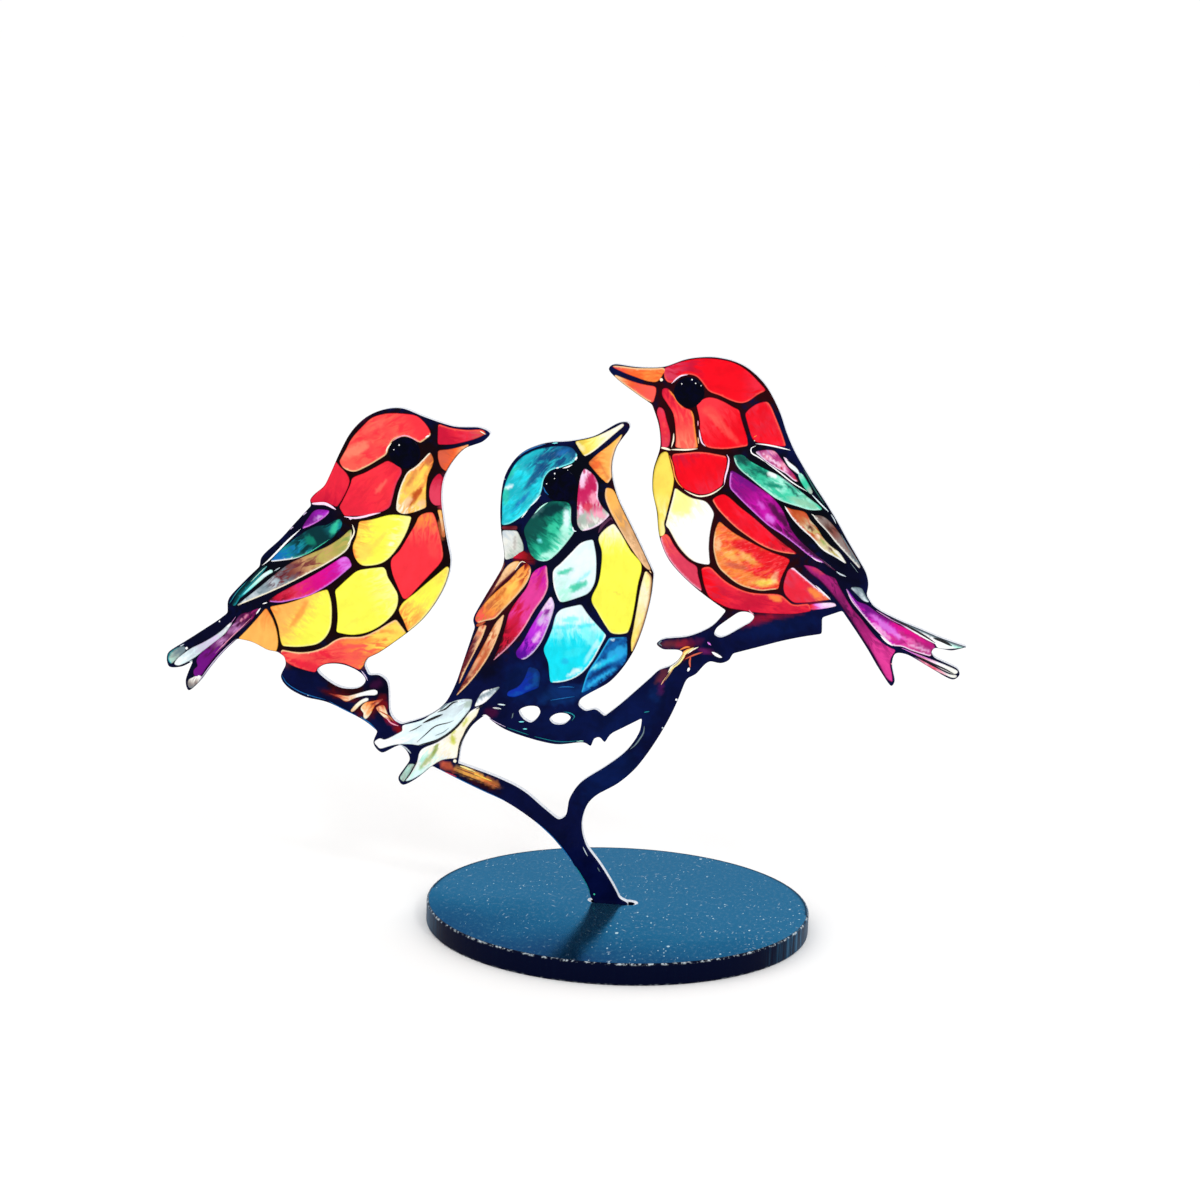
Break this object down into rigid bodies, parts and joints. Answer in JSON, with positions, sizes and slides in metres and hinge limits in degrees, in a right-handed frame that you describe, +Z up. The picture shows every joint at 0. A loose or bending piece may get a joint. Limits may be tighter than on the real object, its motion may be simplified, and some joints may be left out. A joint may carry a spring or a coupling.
{
  "type": "tabletop bird ornament",
  "caption": "Flat cut-metal ornament: songbirds perched side by side on a forked branch, finished like stained glass, upright in a slot in a round base disc.",
  "frame": {"origin": "centre of the base disc's underside", "axes": "+Z up, +X to the right along the flat plate as its front is looked at, the plate's front faces -Y"},
  "size_m": [0.1982, 0.095, 0.1425],
  "materials": {
    "printed_plate": "glossy dark enamel with a stained-glass style print in red, orange, yellow, cyan, green and purple panes; bare light steel on the cut edges",
    "base_enamel": "satin dark slate-blue enamel with fine specks and hairline scratches"
  },
  "bodies": {
    "root": {"base_disc": "base_enamel", "bird_plate": "printed_plate"}
  },
  "joints": []
}
